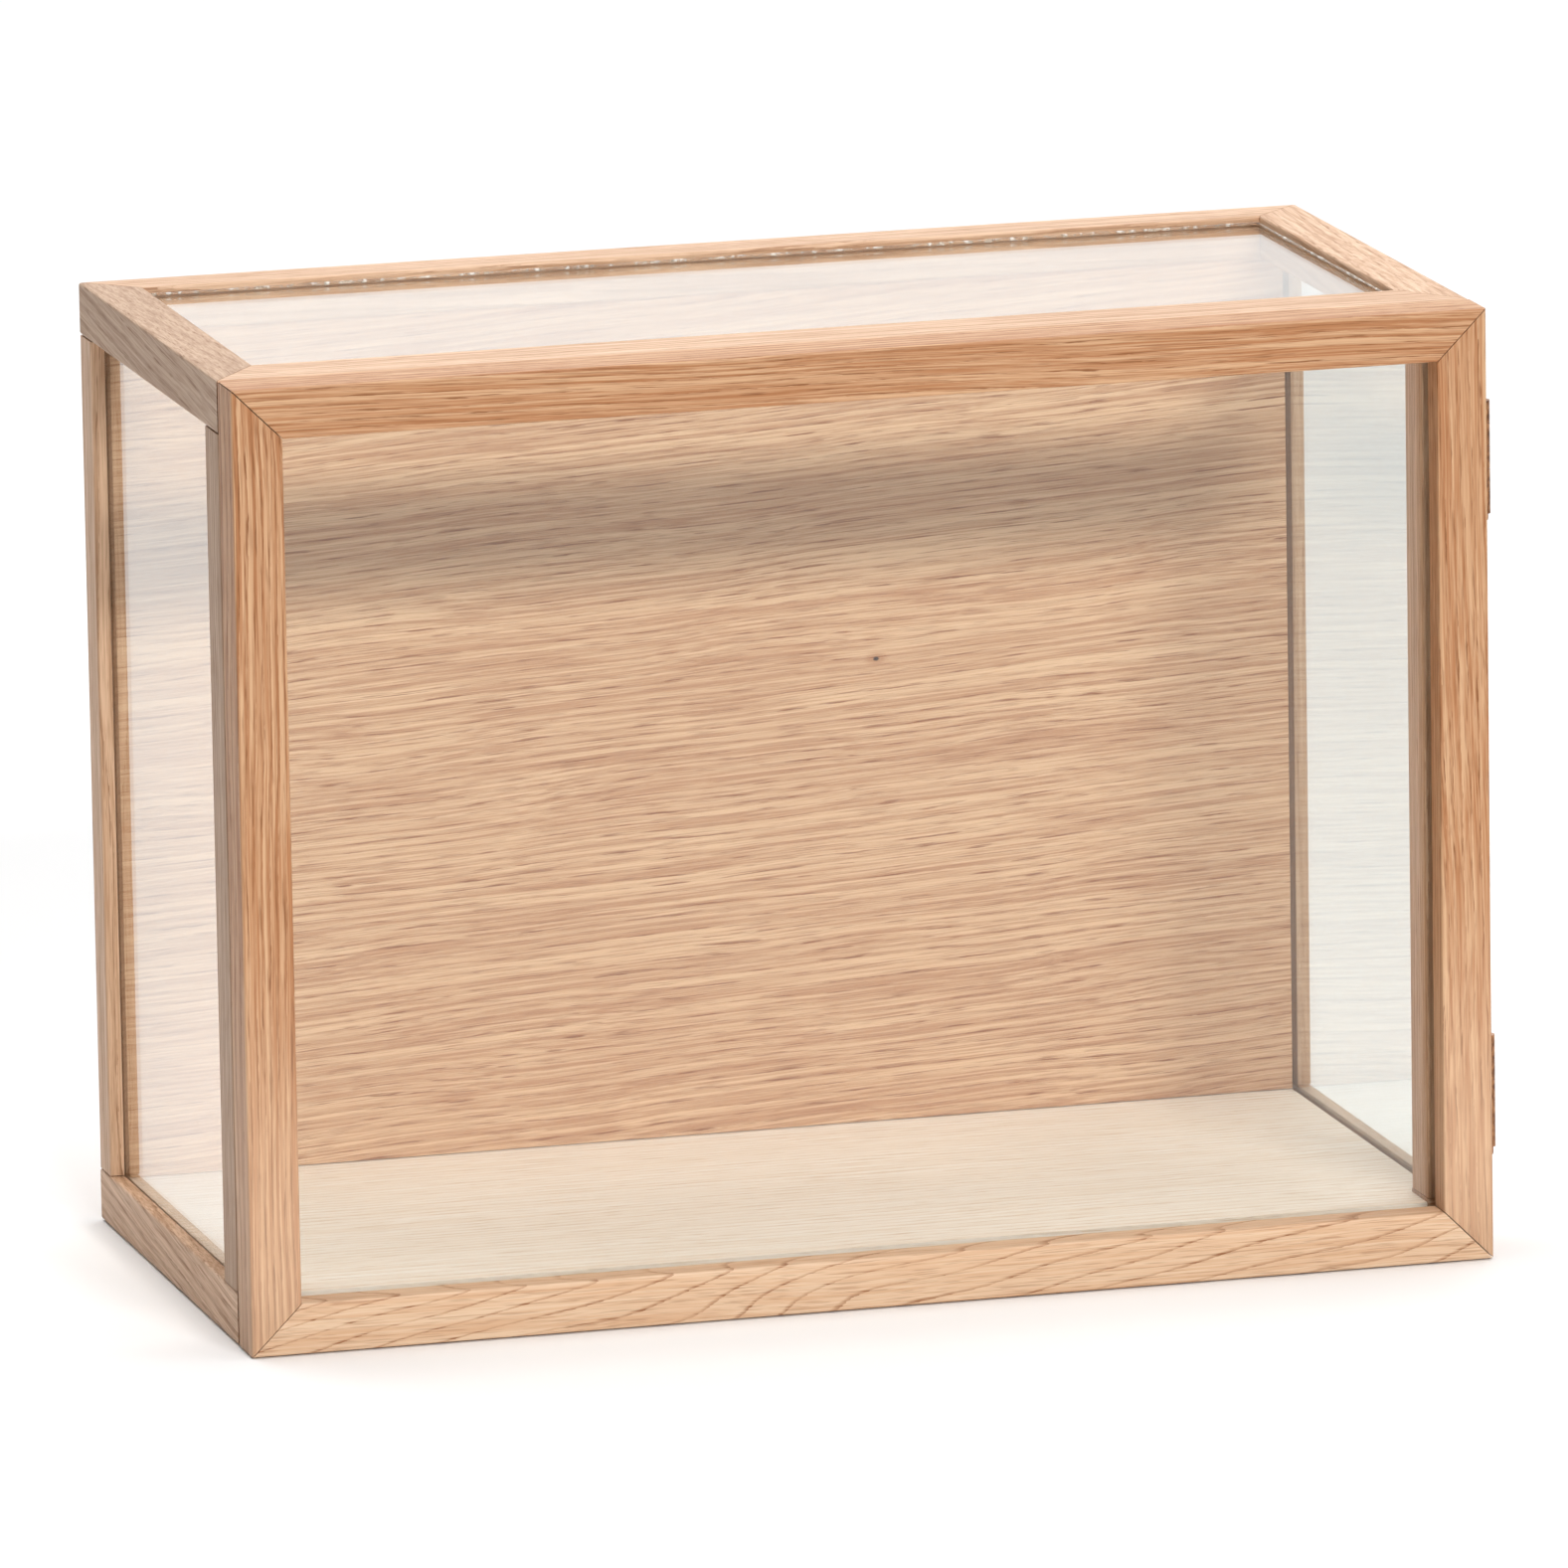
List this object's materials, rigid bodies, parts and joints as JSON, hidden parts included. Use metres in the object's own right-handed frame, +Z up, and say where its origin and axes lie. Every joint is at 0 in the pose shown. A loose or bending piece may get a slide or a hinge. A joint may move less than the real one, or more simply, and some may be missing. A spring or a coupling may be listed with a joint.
{
  "type": "wall mounted showcase",
  "caption": "Oak-framed wall display case with clear glass top, sides and hinged front door, closed wooden back and base.",
  "frame": {"origin": "middle of the upper rear rail's back face, on the wall plane and on the line that the case hangs from", "axes": "+Z up, +Y into the wall, so the glass door faces -Y; +X to the right of a person who faces the door, towards the hinges"},
  "size_m": [0.4064, 0.2, 0.3019],
  "materials": {
    "oak": "solid oak, planed and sanded, pale matt oil",
    "oak_veneer": "oak veneer on board, fine sanded, pale matt lacquer",
    "beech_dowel": "turned beech, bare",
    "clear_glass": "clear float glass, polished",
    "clear_silicone": "clear silicone sealant, glossy, tooled by hand",
    "antique_bronze": "bronzed brass, satin",
    "zinc_plated_steel": "bright zinc plate",
    "nickel_plate": "nickel-plated magnet, bright"
  },
  "bodies": {
    "carcass": {"back_panel": "oak_veneer", "bottom_board": "oak_veneer", "bottom_rail_front": "oak", "bottom_rail_left": "oak", "bottom_rail_rear": "oak", "bottom_rail_right": "oak", "dowel_front_left_bottom": "beech_dowel", "dowel_front_left_top": "beech_dowel", "dowel_front_right_bottom": "beech_dowel", "dowel_front_right_top": "beech_dowel", "dowel_rear_left_bottom": "beech_dowel", "dowel_rear_left_top": "beech_dowel", "dowel_rear_right_bottom": "beech_dowel", "dowel_rear_right_top": "beech_dowel", "hanger_left": "zinc_plated_steel", "hanger_left_screw_1": "zinc_plated_steel", "hanger_left_screw_2": "zinc_plated_steel", "hanger_right": "zinc_plated_steel", "hanger_right_screw_1": "zinc_plated_steel", "hanger_right_screw_2": "zinc_plated_steel", "hinge_lower_leaf_carcass": "antique_bronze", "hinge_lower_pin": "antique_bronze", "hinge_lower_screw_carcass_1": "zinc_plated_steel", "hinge_lower_screw_carcass_2": "zinc_plated_steel", "hinge_upper_leaf_carcass": "antique_bronze", "hinge_upper_pin": "antique_bronze", "hinge_upper_screw_carcass_1": "zinc_plated_steel", "hinge_upper_screw_carcass_2": "zinc_plated_steel", "magnet_lower": "nickel_plate", "magnet_upper": "nickel_plate", "side_pane_left": "clear_glass", "side_pane_right": "clear_glass", "stile_front_left": "oak", "stile_front_right": "oak", "stile_rear_left": "oak", "stile_rear_right": "oak", "top_pane": "clear_glass", "top_pane_bead": "clear_silicone", "top_rail_front": "oak", "top_rail_left": "oak", "top_rail_rear": "oak", "top_rail_right": "oak"},
    "door": {"door_pane": "clear_glass", "door_pane_bead": "clear_silicone", "door_rail_bottom": "oak", "door_rail_top": "oak", "door_stile_left": "oak", "door_stile_right": "oak", "hinge_lower_leaf_door": "antique_bronze", "hinge_lower_screw_door_1": "zinc_plated_steel", "hinge_lower_screw_door_2": "zinc_plated_steel", "hinge_upper_leaf_door": "antique_bronze", "hinge_upper_screw_door_1": "zinc_plated_steel", "hinge_upper_screw_door_2": "zinc_plated_steel", "strike_lower": "zinc_plated_steel", "strike_upper": "zinc_plated_steel"}
  },
  "joints": [
    {"name": "door_hinge", "type": "hinge", "parent": "carcass", "child": "door", "pos_m": [0.2034, -0.1822, -0.14275], "axis": [0, 0, 1], "range_deg": [0, 180]}
  ]
}
